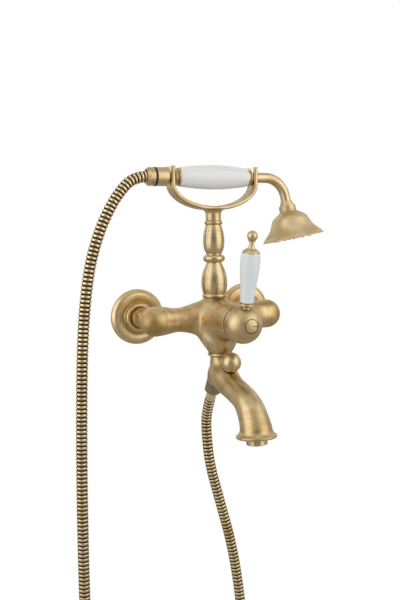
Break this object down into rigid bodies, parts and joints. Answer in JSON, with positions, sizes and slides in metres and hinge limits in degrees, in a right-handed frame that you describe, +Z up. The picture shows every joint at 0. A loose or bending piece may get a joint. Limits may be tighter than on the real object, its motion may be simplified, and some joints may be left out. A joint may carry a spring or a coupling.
{
  "type": "wall mounted bath faucet",
  "caption": "Wall mounted bath mixer in brushed antique bronze with a single lever, a swan spout with diverter knob, and a porcelain handled shower handset in a fork on a turned column.",
  "frame": {"origin": "on the finished wall, midway between the two inlet studs", "axes": "+X to the right seen from the front, +Y into the wall, +Z up"},
  "size_m": [0.3237, 0.2092, 0.8315],
  "materials": {
    "brass": "brushed antique bronze",
    "hose_brass": "brass ribs with dark grooves",
    "dark_bronze": "matte brown bronze",
    "porcelain_handle": "glossy white glaze",
    "porcelain_lever": "glossy white glaze",
    "disc_ceramic": "lapped",
    "rubber": "matte",
    "plastic": "matte",
    "steel": "bright"
  },
  "bodies": {
    "mixer": {"aerator_gasket": "rubber", "aerator_housing": "brass", "aerator_insert": "plastic", "cartridge_fixed_disc": "disc_ceramic", "cartridge_housing": "plastic", "cartridge_nut": "brass", "cartridge_seals": "rubber", "column": "brass", "column_stud": "steel", "diverter_bonnet": "brass", "flange_left": "brass", "flange_right": "brass", "fork": "brass", "hose": "hose_brass", "hose_ferrule_lower": "brass", "hose_nut_lower": "dark_bronze", "hose_washer_lower": "rubber", "mixer_body": "brass", "spout": "brass", "spout_collar": "brass", "spout_seal": "rubber", "union_left": "brass", "union_nut_left": "brass", "union_nut_right": "brass", "union_right": "brass", "union_washers": "rubber"},
    "rotor": {"cartridge_rotor": "plastic", "cartridge_pin": "steel"},
    "lever": {"cartridge_spindle": "steel", "lever_ball": "brass", "lever_screw": "steel", "index_plug": "brass", "lever_stem": "steel", "lever_ferrule": "brass", "lever_sleeve": "porcelain_lever", "lever_finial": "brass"},
    "valve_disc": {"cartridge_carrier": "plastic", "cartridge_moving_disc": "disc_ceramic"},
    "diverter": {"diverter_rod": "brass", "diverter_piston": "brass", "diverter_seal": "rubber", "diverter_knob": "brass"},
    "handset": {"hose_nut_upper": "brass", "hose_washer_upper": "rubber", "hose_ferrule_upper": "brass", "swivel_ring": "rubber", "handset_connector": "brass", "handset_core": "steel", "handle_ferrule_rear": "brass", "handset_handle": "porcelain_handle", "handle_ferrule_front": "brass", "handset_neck": "brass", "head_collar": "brass", "head_bell": "brass", "spray_plate": "brass", "spray_gasket": "rubber"}
  },
  "joints": [
    {"name": "temperature_turn", "type": "hinge", "parent": "mixer", "child": "rotor", "pos_m": [0, -0.138, 0], "axis": [0, 1, 0], "range_deg": [-45, 45]},
    {"name": "flow_tilt", "type": "hinge", "parent": "rotor", "child": "lever", "pos_m": [0, -0.138, 0], "axis": [1, 0, 0], "range_deg": [0, 18]},
    {"name": "disc_slide", "type": "slide", "parent": "rotor", "child": "valve_disc", "axis": [0, 0, 1], "range_m": [0, 0.01035]},
    {"name": "diverter_pull", "type": "slide", "parent": "mixer", "child": "diverter", "axis": [0, -1, 0], "range_m": [0, 0.008]},
    {"name": "handset_lift", "type": "slide", "parent": "mixer", "child": "handset", "axis": [0, 0, 1], "range_m": [0, 0.045], "deforming": ["hose"]}
  ],
  "couplings": [
    {"joint": "disc_slide", "follows": "flow_tilt", "m_per_rad": 0.032864}
  ]
}
